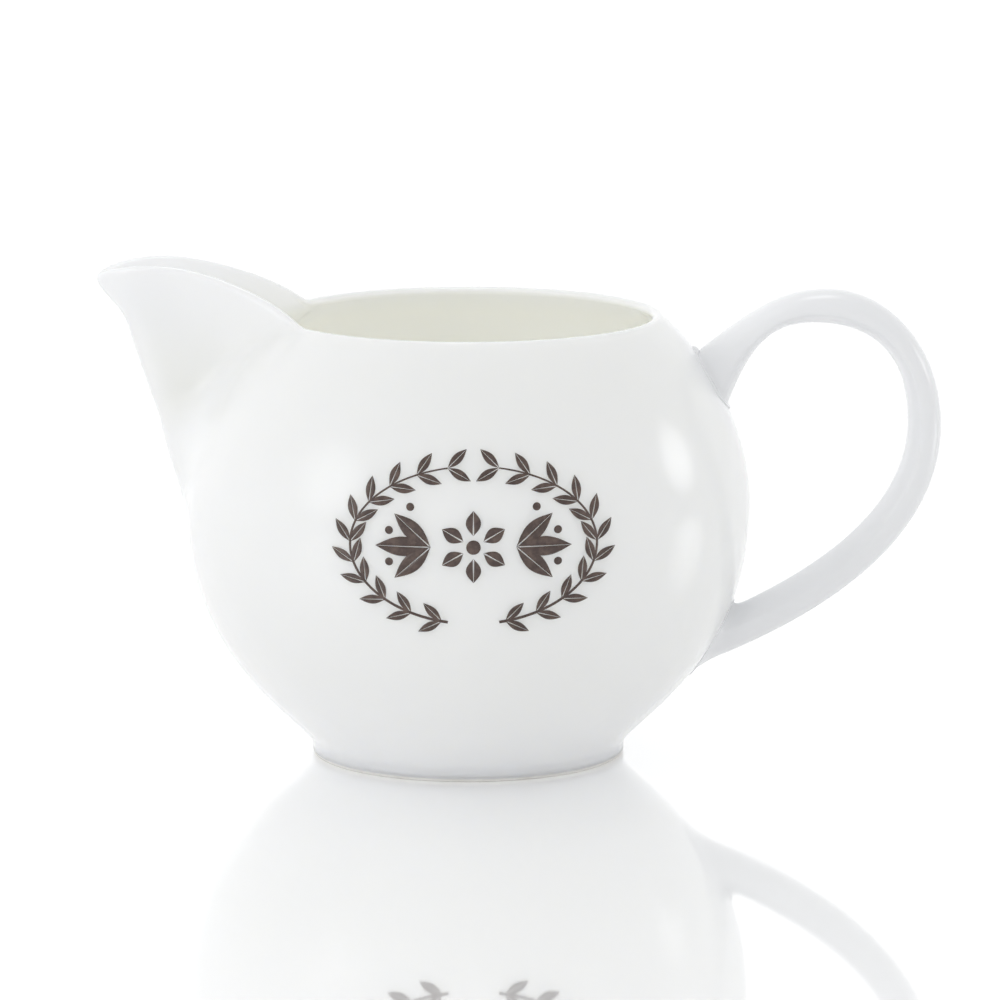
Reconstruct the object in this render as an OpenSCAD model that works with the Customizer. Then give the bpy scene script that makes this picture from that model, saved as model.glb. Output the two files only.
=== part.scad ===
// Small porcelain cream jug: a globe-shaped bowl on a low foot ring, with a raised beak of a spout on one
// side, a looped strap handle on the other and a printed leaf emblem on the front.
// Units are millimetres, +Z is up, +X runs from the bowl's axis towards the handle and -Y is the front.
// The origin is the centre of the foot ring, on the surface the jug stands on.

/* [Bowl] */

// Height of the mouth's rim above the table
rim_height = 68.7; // [67.5:0.1:70]
// Radius of the mouth, measured to the crest of its lip
mouth_radius = 29.6; // [29:0.1:30.2]
// Largest radius of the globe
belly_radius = 43.7; // [43:0.1:44.2]
// Height of the globe's widest level
belly_height = 39.5; // [38:0.1:41]
// Wall thickness at the belly
wall = 2.2; // [1.8:0.1:2.6]
// Thickness of the rounded lip
lip_thickness = 1.4; // [1.2:0.1:1.8]
// Thickness of the floor
floor_thickness = 3; // [2.4:0.1:4]
// Angle between the shoulder and the horizontal at the lip
shoulder_angle = 42; // [38:1:48]

/* [Foot] */

// Outer radius of the foot ring
foot_radius = 24.2; // [23.5:0.1:25]
// Height of the foot ring, which is also the depth of the recess inside it
foot_height = 1.8; // [1.2:0.1:2.2]
// Width of the foot ring
foot_width = 2.8; // [2:0.1:4]
// Rounding of the foot ring's two lower edges
foot_edge = 0.5; // [0.2:0.1:0.6]

/* [Spout] */

// Distance from the bowl's axis to the tip of the spout
spout_reach = 57.6; // [56:0.1:59]
// Height of the tip
spout_tip_height = 74.8; // [74:0.1:76]
// Highest level of the spout's rim
spout_crown = 76.9; // [76:0.1:78]
// Half of the width between the two corners where the spout's rim leaves the mouth
spout_corner = 14.6; // [13.5:0.1:15.5]
// Height at which the underside of the spout runs out into the globe
spout_root_height = 40.5; // [39:0.5:44]
// Wall thickness along the underside of the spout
spout_wall = 2; // [1.6:0.1:2.4]

/* [Handle] */

// Distance from the bowl's axis to the outermost point of the loop
handle_reach = 73.2; // [72:0.1:75]
// Height of the top of the loop
handle_crown = 72.5; // [71.5:0.1:73.5]
// Thickness of the strap at the top of the loop, seen from the front
strap_thickness = 5.2; // [4.6:0.1:5.8]
// Width of the strap, seen from above
strap_width = 9.4; // [8:0.1:11]
// Extra width of the strap where it meets the bowl
root_flare = 3; // [1:0.1:4]

/* [Emblem] */

// Half of the width of the oval that the wreath's stems follow
emblem_half_width = 18.4; // [16:0.1:19.5]
// Half of the height of that oval
emblem_half_height = 11.8; // [10:0.1:12.5]
// Height of the emblem's centre above the table
emblem_height = 40; // [38:0.1:41]
// Pairs of leaves on each of the wreath's two branches
leaf_pairs = 11; // [8:1:13]
// Length of a wreath leaf
leaf_length = 3.9; // [3:0.1:4.4]
// Thickness of the printed layer
print_thickness = 0.3; // [0.2:0.05:0.5]

/* [Hidden] */

$fn = 96;

china = [0.93, 0.94, 0.94];
ink = [0.25, 0.19, 0.17];

lip_radius = lip_thickness / 2;
lip_centre = [mouth_radius, rim_height - lip_radius];
lip_steps = 8;

// the wall's outer and inner faces, each as a lower and an upper stretch
curve_steps = 26;
outer_normal = [sin(shoulder_angle), cos(shoulder_angle)];
shoulder_run = [cos(shoulder_angle), -sin(shoulder_angle)];
foot_top = [foot_radius, foot_height];
foot_lean = 66;
belly = [belly_radius, belly_height];
inner_belly = [belly_radius - wall, belly_height];
floor_level = foot_height + floor_thickness;
lip_outside = lip_centre + lip_radius * outer_normal;
lip_inside = lip_centre - lip_radius * outer_normal;
lower_outer = [foot_top, foot_top + 5 * [cos(foot_lean), sin(foot_lean)], belly - [0, 25], belly];
upper_outer = [belly, belly + [0, 10.6], lip_outside + 10 * shoulder_run, lip_outside];
lower_inner = [[0, floor_level], [28, floor_level], inner_belly - [0, 24.5], inner_belly];
upper_inner = [inner_belly, inner_belly + [0, 10.2], lip_inside + 9.4 * shoulder_run, lip_inside];

// the spout: its rim on the +Y side and its underside, each from the tip back to the bowl
spout_tip = [-spout_reach, 0, spout_tip_height];
rim_bend = [-47.1, 6.1, spout_crown];
beak_curl = [5.1, 0.5, -0.1];
rim_corner = [-sqrt(pow(mouth_radius, 2) - pow(spout_corner, 2)), spout_corner, rim_height];
rim_beak = [spout_tip, spout_tip + [1.2, 1.9, 0.9], rim_bend - beak_curl, rim_bend];
rim_sweep = [rim_bend, rim_bend + beak_curl, rim_corner + [-5.4, -4.7, 5.1], rim_corner];
keel_bend = [-52.7, 0, 67.4];
keel_sink = 0.4;
keel_root = [keel_sink - belly_radius, 0, spout_root_height];
keel_beak = [spout_tip, spout_tip - [0, 0, 2.4], keel_bend - [0.9, 0, -3], keel_bend];
keel_sweep = [keel_bend, keel_bend + [1.6, 0, -5.3], keel_root + [-3.6, 0, 9.4], keel_root];
beak_share = 0.4;
spout_stations = 26;
first_channel_station = 4;
section_steps = 10;
spout_lip = 0.65;
lip_angles = [45, 90, 135];
flare = 0.55;
spout_overlap = 7;
above_rim = 4;
above_mouth = 12;

// the handle: its outer and inner edges in the plane of symmetry, each as three joined stretches
crown_out = [55.4, handle_crown];
reach_out = [handle_reach, 51.3];
crown_in = [53.3, handle_crown - strap_thickness];
reach_in = [handle_reach - strap_thickness, 51.8];
edge_out = [
    [[32.5, 60.4], [41.8, 67.8], crown_out - [8.2, 0], crown_out],
    [crown_out, crown_out + [9.5, 0], reach_out + [0, 12.3], reach_out],
    [reach_out, reach_out - [0, 20.3], [49.9, 18.4], [31.5, 12.4]]
];
edge_in = [
    [[38.6, 50.5], [42.6, 61.4], crown_in - [8.3, 0], crown_in],
    [crown_in, crown_in + [5.9, 0], reach_in + [0, 13.5], reach_in],
    [reach_in, reach_in - [0, 14.8], [52, 26.6], [33.6, 19.4]]
];
ring_points = 28;
rings_per_stretch = 18;
upper_cut = 9;
lower_cut = 45;
last_ring = 3 * rings_per_stretch;

// the emblem
emblem_offset = 1;
stem_width = 0.45;
stem_steps = 24;
stem_tail = 3;
branch_end = 78;
leaf_lean = 36;
leaf_steps = 8;
leaf_fullness = 0.36;
petals = 6;
petal_fullness = 0.62;
blossom_radius = 5.4;
eye_share = 0.2;
petal_start = 0.32;
spray_gap = 1;
spray_leaf = 7.2;
middle_leaf_extra = 1;
spray_spread = 42;
bud_radius = 0.6;
print_depth = 14;

function mix(a, b, t) = a + (b - a) * t;

function bezier(p, t) =
    pow(1 - t, 3) * p[0] + 3 * pow(1 - t, 2) * t * p[1] + 3 * (1 - t) * t * t * p[2] + pow(t, 3) * p[3];

function curve(p, n) = [for (i = [0 : n]) bezier(p, i / n)];

function reversed(list) = [for (i = [len(list) - 1 : -1 : 0]) list[i]];

function arc(centre, r, from, to, n) =
    [for (i = [0 : n]) centre + r * [cos(mix(from, to, i / n)), sin(mix(from, to, i / n))]];

// A closed solid through a row of closed rings, which all have the same number of points.
module loft(rings) {
    n = len(rings[0]);
    last = len(rings) - 1;
    sides = [
        for (i = [0 : last - 1], j = [0 : n - 1], half = [0, 1])
            let (a = i * n + j, b = i * n + (j + 1) % n)
                half == 0 ? [a, b, b + n] : [a, b + n, a + n]
    ];
    caps = [[for (j = [n - 1 : -1 : 0]) j], [for (j = [0 : n - 1]) last * n + j]];
    polyhedron([for (ring = rings, p = ring) p], concat(sides, caps), convexity = 6);
}

// The outline of the bowl's outside, from the foot up to the crest of the lip.
function outer_wall() = concat(
    curve(lower_outer, curve_steps),
    [for (i = [1 : curve_steps - 1]) bezier(upper_outer, i / curve_steps)],
    arc(lip_centre, lip_radius, 90 - shoulder_angle, 90, lip_steps)
);

// The outline of the bowl's inside, from the crest of the lip down to the middle of the floor.
function inner_wall() = concat(
    [for (i = [1 : lip_steps]) arc(lip_centre, lip_radius, 90, 270 - shoulder_angle, lip_steps)[i]],
    [for (i = [curve_steps - 1 : -1 : 1]) bezier(upper_inner, i / curve_steps)],
    reversed(curve(lower_inner, curve_steps))
);

// The bowl without its hollow, which everything fixed to the outside is trimmed to.
module globe() {
    rotate_extrude()
        polygon(concat(outer_wall(), [[0, rim_height], [0, foot_height]]));
}

// The globe carried straight up from the outer edge of its lip, which the spout is trimmed to.
module globe_and_mouth() {
    wall_top = 2 * curve_steps;
    rotate_extrude()
        polygon(concat(
            [for (i = [0 : wall_top]) outer_wall()[i]],
            [[lip_outside[0], rim_height + above_mouth], [0, rim_height + above_mouth], [0, foot_height]]
        ));
}

// The curve of the rim or of the underside, s running from 0 at the tip to 1 at the bowl.
function along(beak, sweep, s) =
    s < beak_share ? bezier(beak, s / beak_share) : bezier(sweep, (s - beak_share) / (1 - beak_share));

// A point of a U-shaped section: u runs across it from -1 to 1, with 0 at the underside.
function section_point(base, up, depth, half_width, widening, u) =
    let (v = abs(u))
        base + up * depth * v * v + [0, sign(u) * half_width * ((1 - widening) * v + widening * pow(v, 8)), 0];

// One closed ring of the spout's wall: outside, over one lip, inside and over the other lip.
function spout_ring(s, shift) =
    let (
        rim = along(rim_beak, rim_sweep, s),
        keel = along(keel_beak, keel_sweep, s),
        top = [rim[0], 0, rim[2]],
        depth = norm(top - keel),
        up = (top - keel) / depth,
        r = min(spout_lip, rim[1] / 2),
        t = min(spout_wall, depth / 2 - r / 2),
        m = flare * s,
        move = [shift, 0, 0]
    )
    concat(
        [for (i = [-section_steps : section_steps])
            move + section_point(keel, up, depth - r, rim[1] + r, m, i / section_steps)],
        [for (a = lip_angles)
            move + keel + up * (depth - r + r * sin(a)) + [0, rim[1] + r * cos(a), 0]],
        [for (i = [section_steps : -1 : -section_steps])
            move + section_point(keel + up * t, up, depth - r - t, rim[1] - r, m, i / section_steps)],
        [for (a = reversed(lip_angles))
            move + keel + up * (depth - r + r * sin(a)) - [0, rim[1] + r * cos(a), 0]]
    );

// One ring of the spout's channel: the inside of the wall, closed well above the lips.
function channel_ring(s, shift) =
    let (
        ring = spout_ring(s, shift),
        first = 2 * section_steps + 1 + len(lip_angles),
        inside = [for (i = [0 : 2 * section_steps]) ring[first + i]],
        rise = [0, 0, above_rim]
    )
    concat([inside[0] + rise], inside, [inside[2 * section_steps] + rise]);

// The space inside the spout, which also opens the wall of the bowl behind it.
module spout_channel() {
    loft(concat(
        [for (i = [first_channel_station : spout_stations]) channel_ring(i / spout_stations, 0)],
        [channel_ring(1, spout_overlap)]
    ));
}

module bowl() {
    color(china)
        difference() {
            rotate_extrude()
                polygon(concat(outer_wall(), inner_wall(), [[0, foot_height]]));
            spout_channel();
        }
}

module foot_ring() {
    inner_radius = foot_radius - foot_width;
    color(china)
        rotate_extrude()
            polygon(concat(
                [foot_top],
                [[inner_radius, foot_height]],
                arc([inner_radius + foot_edge, foot_edge], foot_edge, 180, 270, lip_steps),
                arc([foot_radius - foot_edge, foot_edge], foot_edge, 270, 360, lip_steps)
            ));
}

module spout() {
    color(china)
        difference() {
            loft(concat(
                [for (i = [1 : spout_stations]) spout_ring(i / spout_stations, 0)],
                [spout_ring(1, spout_overlap)]
            ));
            globe_and_mouth();
        }
}

// A point on an edge of the handle: i counts rings from the upper root round to the lower root.
function edge_point(edge, i) =
    let (stretch = min(floor(i / rings_per_stretch), 2))
        bezier(edge[stretch], i / rings_per_stretch - stretch);

// One oval ring of the handle, spanning from its outer edge to its inner edge.
function handle_ring(i) =
    let (
        a = edge_point(edge_out, i),
        b = edge_point(edge_in, i),
        centre = [(a[0] + b[0]) / 2, 0, (a[1] + b[1]) / 2],
        half = [(a[0] - b[0]) / 2, 0, (a[1] - b[1]) / 2],
        end = max(1 - i / upper_cut, (i - lower_cut) / (last_ring - lower_cut), 0),
        half_width = (strap_width + root_flare * pow(end, 2)) / 2
    )
    [for (k = [0 : ring_points - 1])
        let (angle = 360 * k / ring_points)
            centre + half * cos(angle) + [0, half_width * sin(angle), 0]];

module handle_part(first, last) {
    loft([for (i = [last : -1 : first]) handle_ring(i)]);
}

module handle() {
    color(china)
        handle_part(upper_cut, lower_cut);
}

module handle_upper_root() {
    color(china)
        difference() {
            handle_part(0, upper_cut);
            globe();
        }
}

module handle_lower_root() {
    color(china)
        difference() {
            handle_part(lower_cut, last_ring);
            globe();
        }
}

// A pointed leaf that starts at the origin and lies along +X.
module leaf(length, fullness) {
    polygon([
        for (side = [1, -1], i = [0 : leaf_steps - 1])
            let (t = side > 0 ? i / leaf_steps : 1 - i / leaf_steps)
                [length * t, side * length * fullness / 2 * sin(180 * t)]
    ]);
}

// A point beside the oval that the wreath follows, at an angle counted from the right.
function beside_oval(angle, out) =
    [(emblem_half_width + out) * cos(angle), (emblem_half_height + out) * sin(angle)];

module wreath_branch() {
    stem_angles = [for (i = [0 : stem_steps]) mix(-branch_end, branch_end, i / stem_steps)];
    polygon(concat(
        [for (angle = stem_angles) beside_oval(angle, stem_width / 2)],
        [for (angle = reversed(stem_angles)) beside_oval(angle, -stem_width / 2)]
    ));
    for (i = [0 : leaf_pairs - 1], side = [-1, 1]) {
        angle = mix(stem_tail - branch_end, branch_end, i / (leaf_pairs - 1));
        run = atan2(emblem_half_height * cos(angle), -emblem_half_width * sin(angle));
        translate(beside_oval(angle, 0))
            rotate(run + side * leaf_lean)
                leaf(leaf_length, leaf_fullness);
    }
}

// A six-petalled blossom between two sprays of leaves and buds.
module sprig_outline() {
    circle(blossom_radius * eye_share);
    for (i = [0 : petals - 1])
        rotate((i + 0.5) * 360 / petals)
            translate([blossom_radius * petal_start, 0])
                leaf(blossom_radius * (1 - petal_start), petal_fullness);
    for (side = [0, 1])
        mirror([side, 0, 0])
            for (turn = [-1, 0, 1])
                translate([blossom_radius + spray_gap, 0])
                    rotate(turn * spray_spread) {
                        leaf(turn == 0 ? spray_leaf + middle_leaf_extra : spray_leaf, leaf_fullness);
                        rotate(spray_spread / 2)
                            translate([spray_leaf - bud_radius, 0])
                                circle(bud_radius);
                    }
}

// A drawing in the X-Z plane, laid on the front of the globe as a thin raised layer.
module on_the_front() {
    intersection() {
        translate([emblem_offset, print_depth - belly_radius, emblem_height])
            rotate([90, 0, 0])
                linear_extrude(print_depth + 1)
                    children();
        difference() {
            rotate_extrude()
                polygon([for (p = concat(curve(lower_outer, curve_steps), curve(upper_outer, curve_steps)))
                    p + [print_thickness, 0]]);
            globe();
        }
    }
}

module print_wreath() {
    color(ink)
        on_the_front()
            for (side = [0, 1])
                mirror([side, 0, 0])
                    wreath_branch();
}

module print_sprig() {
    color(ink)
        on_the_front()
            sprig_outline();
}

bowl();
foot_ring();
spout();
handle();
handle_upper_root();
handle_lower_root();
print_wreath();
print_sprig();
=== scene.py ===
# Porcelain cream jug: the looks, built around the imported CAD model.
# Shapes are worked out in millimetres in the CAD's frame and become metres in new_mesh().
import math

import bpy
import numpy as np
from mathutils import Euler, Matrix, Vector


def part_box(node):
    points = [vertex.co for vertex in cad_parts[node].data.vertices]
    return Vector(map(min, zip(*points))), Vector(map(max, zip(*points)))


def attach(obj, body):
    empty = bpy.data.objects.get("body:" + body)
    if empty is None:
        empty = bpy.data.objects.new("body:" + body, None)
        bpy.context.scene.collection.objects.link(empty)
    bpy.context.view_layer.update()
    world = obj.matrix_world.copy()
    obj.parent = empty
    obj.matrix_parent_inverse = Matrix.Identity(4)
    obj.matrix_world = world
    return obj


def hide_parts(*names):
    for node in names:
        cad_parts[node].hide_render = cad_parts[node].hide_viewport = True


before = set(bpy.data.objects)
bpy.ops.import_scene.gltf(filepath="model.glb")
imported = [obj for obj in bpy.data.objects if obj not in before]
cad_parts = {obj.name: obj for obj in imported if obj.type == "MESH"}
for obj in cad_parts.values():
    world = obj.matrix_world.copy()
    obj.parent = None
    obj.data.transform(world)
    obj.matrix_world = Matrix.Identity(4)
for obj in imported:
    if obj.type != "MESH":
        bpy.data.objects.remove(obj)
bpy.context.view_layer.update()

MM = 0.001


# ---------------------------------------------------------------- driving dimensions, from the frame

def box_mm(node):
    low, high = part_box(node)
    return np.array(low) / MM, np.array(high) / MM


bowl_high = box_mm("bowl")[1]
ring_high = box_mm("foot_ring")[1]
spout_low, spout_high = box_mm("spout")
strap_low, strap_high = box_mm("handle")

BELLY_RADIUS = bowl_high[0]
BELLY_HEIGHT = 39.5
RIM_HEIGHT = bowl_high[2]
FOOT_RADIUS = ring_high[0]
FOOT_HEIGHT = ring_high[2]
FOOT_WIDTH = 2.8
WALL = 2.2
FLOOR_THICKNESS = 3.0
MOUTH_RADIUS = 29.6
LIP_RADIUS = 0.7
SHOULDER_ANGLE = math.radians(42)
FOOT_LEAN = math.radians(66)
GLAZE_LINE = 0.5

SPOUT_CORNER = 14.6
SPOUT_LIP = 0.65
SPOUT_WALL = 2.0
SPOUT_FLARE = 0.55
BEAK_SHARE = 0.4


# ---------------------------------------------------------------- curves

def bezier(points, t):
    points = np.array(points, float)
    t = np.asarray(t, float)[..., None]
    return (
        (1 - t) ** 3 * points[0]
        + 3 * (1 - t) ** 2 * t * points[1]
        + 3 * (1 - t) * t**2 * points[2]
        + t**3 * points[3]
    )


def smooth_step(low, high, value):
    t = np.clip((value - low) / (high - low), 0, 1)
    return t * t * (3 - 2 * t)


def even_steps(line, count):
    """Points evenly spaced along a polyline."""
    lengths = np.r_[0, np.cumsum(np.linalg.norm(np.diff(line, axis=0), axis=1))]
    wanted = np.linspace(0, lengths[-1], count)
    return np.stack([np.interp(wanted, lengths, line[:, k]) for k in range(line.shape[1])], axis=1)


# How far each end of the globe's curves is pulled along its own direction.
FOOT_PULL = 5
BELLY_PULL_DOWN = 25
BELLY_PULL_UP = 10.6
SHOULDER_PULL = 10
FLOOR_PULL = 28
INNER_PULL_DOWN = 24.5
INNER_PULL_UP = 10.2
INNER_SHOULDER_PULL = 9.4

fine = np.linspace(0, 1, 400)
lip_centre = np.array([MOUTH_RADIUS, RIM_HEIGHT - LIP_RADIUS])
outer_normal = np.array([math.sin(SHOULDER_ANGLE), math.cos(SHOULDER_ANGLE)])
shoulder_run = np.array([math.cos(SHOULDER_ANGLE), -math.sin(SHOULDER_ANGLE)])
foot_run = np.array([math.cos(FOOT_LEAN), math.sin(FOOT_LEAN)])
belly = np.array([BELLY_RADIUS, BELLY_HEIGHT])
inner_belly = belly - [WALL, 0]
foot_top = np.array([FOOT_RADIUS, FOOT_HEIGHT])
floor_level = FOOT_HEIGHT + FLOOR_THICKNESS
lip_outside = lip_centre + LIP_RADIUS * outer_normal
lip_inside = lip_centre - LIP_RADIUS * outer_normal

outer_profile = np.vstack([
    [[FOOT_RADIUS, GLAZE_LINE]],
    bezier([foot_top, foot_top + FOOT_PULL * foot_run, belly - [0, BELLY_PULL_DOWN], belly], fine),
    bezier([belly, belly + [0, BELLY_PULL_UP],
            lip_outside + SHOULDER_PULL * shoulder_run, lip_outside], fine)[1:],
])
inner_profile = np.vstack([
    bezier([[0, floor_level], [FLOOR_PULL, floor_level],
            inner_belly - [0, INNER_PULL_DOWN], inner_belly], fine),
    bezier([inner_belly, inner_belly + [0, INNER_PULL_UP],
            lip_inside + INNER_SHOULDER_PULL * shoulder_run, lip_inside], fine)[1:],
])


def outer_radius(z):
    return np.interp(z, outer_profile[:, 1], outer_profile[:, 0])


def inner_radius(z):
    return np.interp(z, inner_profile[:, 1], inner_profile[:, 0])


# ---------------------------------------------------------------- the spout's rim, underside and width

TIP_HEIGHT = 74.8
TIP_RIM_PULL = [1.2, 1.9, 0.9]
TIP_KEEL_PULL = [0, 0, 2.4]
CORNER_PULL = [-5.4, -4.7, 5.1]
KEEL_PULL_UP = [0.9, 0, -3]
KEEL_PULL_DOWN = [1.6, 0, -5.3]
KEEL_ROOT_PULL = [-3.6, 0, 9.4]

tip = np.array([spout_low[0], 0, TIP_HEIGHT])
rim_bend = np.array([-47.1, 6.1, spout_high[2]])
beak_curl = np.array([5.1, 0.5, -0.1])
rim_corner = np.array([-math.sqrt(MOUTH_RADIUS**2 - SPOUT_CORNER**2), SPOUT_CORNER, RIM_HEIGHT])
keel_bend = np.array([-52.7, 0, 67.4])
keel_root = np.array([0.4 - BELLY_RADIUS, 0, 40.5])
rim_curves = (
    [tip, tip + TIP_RIM_PULL, rim_bend - beak_curl, rim_bend],
    [rim_bend, rim_bend + beak_curl, rim_corner + CORNER_PULL, rim_corner],
)
keel_curves = (
    [tip, tip - TIP_KEEL_PULL, keel_bend - KEEL_PULL_UP, keel_bend],
    [keel_bend, keel_bend + KEEL_PULL_DOWN, keel_root + KEEL_ROOT_PULL, keel_root],
)


def along(curves, s):
    """A point of a two-part curve, s running from 0 at the tip to 1 at the bowl."""
    s = np.asarray(s, float)
    beak = bezier(curves[0], np.clip(s / BEAK_SHARE, 0, 1))
    sweep = bezier(curves[1], np.clip((s - BEAK_SHARE) / (1 - BEAK_SHARE), 0, 1))
    return np.where((s < BEAK_SHARE)[..., None], beak, sweep)


def section(s, inside):
    """Base point, up direction, depth and half width of the U-shaped section at s."""
    rim, keel = along(rim_curves, s), along(keel_curves, s)
    top = rim * [1, 0, 1]
    depth = np.linalg.norm(top - keel, axis=-1)
    up = (top - keel) / np.maximum(depth, 1e-6)[..., None]
    lip = np.minimum(SPOUT_LIP, rim[..., 1] / 2)
    if inside:
        wall = np.minimum(SPOUT_WALL, depth / 2 - lip / 2)
        return keel + up * wall[..., None], up, depth - lip - wall, rim[..., 1] - lip
    return keel, up, depth - lip, rim[..., 1] + lip


FIELD_X = (-60.0, -14.0)
FIELD_Z = (36.0, 80.0)
FIELD_STEP = 0.25
FIELD_HALVINGS = 30
LEAST_DEPTH = 0.2
HIGHEST_SHARE = 1.4


class SpoutField:
    """The square of the spout's half width over the plane of symmetry, negative outside the underside."""

    def __init__(self, inside):
        self.xs = np.arange(*FIELD_X, FIELD_STEP)
        self.zs = np.arange(*FIELD_Z, FIELD_STEP)
        x, z = np.meshgrid(self.xs, self.zs, indexing="ij")
        low, high = np.full(x.shape, 1e-4), np.ones(x.shape)
        for _ in range(FIELD_HALVINGS):
            s = (low + high) / 2
            base, up, _, _ = section(s, inside)
            turned = (x - base[..., 0]) * up[..., 2] - (z - base[..., 2]) * up[..., 0]
            low, high = np.where(turned > 0, s, low), np.where(turned > 0, high, s)
        s = (low + high) / 2
        base, up, depth, width = section(s, inside)
        f = (x - base[..., 0]) * up[..., 0] + (z - base[..., 2]) * up[..., 2]
        f = f / np.maximum(depth, LEAST_DEPTH)
        m = SPOUT_FLARE * s
        g = np.clip(np.abs(f), 0, HIGHEST_SHARE)
        self.squared = np.sign(f) * (width * ((1 - m) * np.sqrt(g) + m * g**4)) ** 2
        self.slope_x, self.slope_z = np.gradient(self.squared, self.xs, self.zs)

    def look_up(self, grid, x, z):
        i = np.clip((x - self.xs[0]) / FIELD_STEP, 0, len(self.xs) - 1.001)
        k = np.clip((z - self.zs[0]) / FIELD_STEP, 0, len(self.zs) - 1.001)
        a, b = i.astype(int), k.astype(int)
        u, v = i - a, k - b
        return (
            grid[a, b] * (1 - u) * (1 - v) + grid[a + 1, b] * u * (1 - v)
            + grid[a, b + 1] * (1 - u) * v + grid[a + 1, b + 1] * u * v
        )

    def distance(self, x, y, z):
        slope = self.look_up(self.slope_x, x, z) ** 2 + self.look_up(self.slope_z, x, z) ** 2
        return (y**2 - self.look_up(self.squared, x, z)) / np.sqrt(4 * y**2 + slope + 1.0)


fields = {False: SpoutField(False), True: SpoutField(True)}

# Blend radii between globe and spout, and the levels between which each one fades.
BLEND_INSIDE = 2.0
BLEND_AT_CORNER = 1.2
BLEND_HALFWAY = 5.5
BLEND_AT_KEEL = 1.4
HALFWAY_FROM_ABOVE = (71, 50)
HALFWAY_FROM_BELOW = (38, 52)
KEEL_LEVELS = (56, 44)

GLOBE_SLOPE = 0.85
SPOUT_STARTS = -15
SPOUT_LOWEST = 36.5
FAR_AWAY = 50.0
SEARCH_RADII = (18.0, 62.0, 0.2)
WALL_HALVINGS = 12


def soft_union(a, b, k):
    h = np.maximum(k - np.abs(a - b), 0) / k
    return np.minimum(a, b) - h * h * k / 4


def blend_radius(z, inside):
    """How softly the spout runs into the globe: crisp at the rim's corner, softest halfway down."""
    if inside:
        return np.full_like(z, BLEND_INSIDE)
    halfway = BLEND_HALFWAY * smooth_step(*HALFWAY_FROM_ABOVE, z) * smooth_step(*HALFWAY_FROM_BELOW, z)
    return BLEND_AT_CORNER + halfway + BLEND_AT_KEEL * smooth_step(*KEEL_LEVELS, z)


def wall_field(rho, angle, z, inside):
    """Roughly the distance outside the wall's face, at a radius and an angle counted from the spout."""
    x, y = -rho * np.cos(angle), rho * np.sin(angle)
    radius = inner_radius(z) if inside else outer_radius(z)
    globe = (rho - radius) * GLOBE_SLOPE
    near_spout = (x < SPOUT_STARTS) & (z > SPOUT_LOWEST)
    spout = np.where(near_spout, fields[inside].distance(x, y, z), FAR_AWAY)
    return soft_union(globe, spout, blend_radius(z, inside))


def wall_radius(angle, z, inside):
    """Distance from the bowl's axis to the wall, at angles counted from the spout."""
    rho = np.arange(*SEARCH_RADII)
    value = wall_field(rho[None, :], angle[:, None], z[:, None] + 0 * rho[None, :], inside)
    first = np.argmax(value > 0, axis=1)
    low, high = rho[first - 1], rho[first]
    for _ in range(WALL_HALVINGS):
        middle = (low + high) / 2
        out = wall_field(middle, angle, z, inside) > 0
        low, high = np.where(out, low, middle), np.where(out, middle, high)
    return (low + high) / 2


# ---------------------------------------------------------------- meshes

def new_mesh(name, points, faces, materials, face_materials=None):
    """A smooth-shaded object from points in millimetres."""
    mesh = bpy.data.meshes.new(name)
    mesh.from_pydata((np.asarray(points) * MM).tolist(), [], faces)
    mesh.update()
    for material in materials:
        mesh.materials.append(material)
    mesh.polygons.foreach_set("use_smooth", [True] * len(mesh.polygons))
    if face_materials is not None:
        mesh.polygons.foreach_set("material_index", face_materials)
    piece = bpy.data.objects.new(name, mesh)
    bpy.context.scene.collection.objects.link(piece)
    return piece


def ring_faces(rings, count, flip=False, closed=False):
    """Quads between rings of count points each, and from the last ring to the first if closed."""
    faces = []
    for i in range(rings if closed else rings - 1):
        here = i * count
        there = (i + 1) % rings * count
        for j in range(count):
            k = (j + 1) % count
            quad = [here + j, here + k, there + k, there + j]
            faces.append(quad[::-1] if flip else quad)
    return faces


def cap_faces(first, count, centre, flip=False):
    """Triangles that close a ring of count points, starting at point first, over one centre point."""
    faces = [[first + j, first + (j + 1) % count, centre] for j in range(count)]
    return [[b, a, c] for a, b, c in faces] if flip else faces


def full_turn(count):
    return np.linspace(0, 2 * math.pi, count + 1)[:-1]


def finish_piece(piece, slot, *nodes):
    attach(piece, "root")
    if nodes:
        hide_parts(*nodes)


# ---------------------------------------------------------------- the bowl and spout, one skin of glaze

COLUMNS = 150
COLUMN_CROWDING = 0.28
OUTER_ROWS = 110
INNER_ROWS = 110
LIP_ROWS = 8
FLOOR_ROWS = 26
FLOOR_EDGE = 6.5
SKIN_BASE = 40.0
SPOUT_MARGIN = 4
INNER_LIP_SHARE = 1.7
LIP_JOIN = 0.9
RIM_SAMPLES = 240
RIM_POINTS = 900
RIM_SMOOTHINGS = 40
BEAK_ROUNDING = 0.2


def rim_line():
    """The centre of the rounded lip over half of the jug, from the spout's tip round to the handle."""
    s = np.linspace(0, 1, RIM_SAMPLES)
    beak = along(rim_curves, s) - [0, 0, SPOUT_LIP]
    beak[:, 0] += SPOUT_LIP * (1 - np.clip(s / BEAK_ROUNDING, 0, 1)) ** 2
    start = math.atan2(SPOUT_CORNER, -rim_corner[0])
    angle = np.linspace(start, math.pi, RIM_SAMPLES)[1:]
    mouth = np.stack([-MOUTH_RADIUS * np.cos(angle), MOUTH_RADIUS * np.sin(angle),
                      np.full(len(angle), RIM_HEIGHT - LIP_RADIUS)], axis=1)
    half = even_steps(np.vstack([beak, mouth]), RIM_POINTS)
    whole = np.vstack([half[::-1][:-1] * [1, -1, 1], half])
    for _ in range(RIM_SMOOTHINGS):
        whole[1:-1] += 0.5 * ((whole[:-2] + whole[2:]) / 2 - whole[1:-1])
    return whole[len(half) - 1:]


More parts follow.
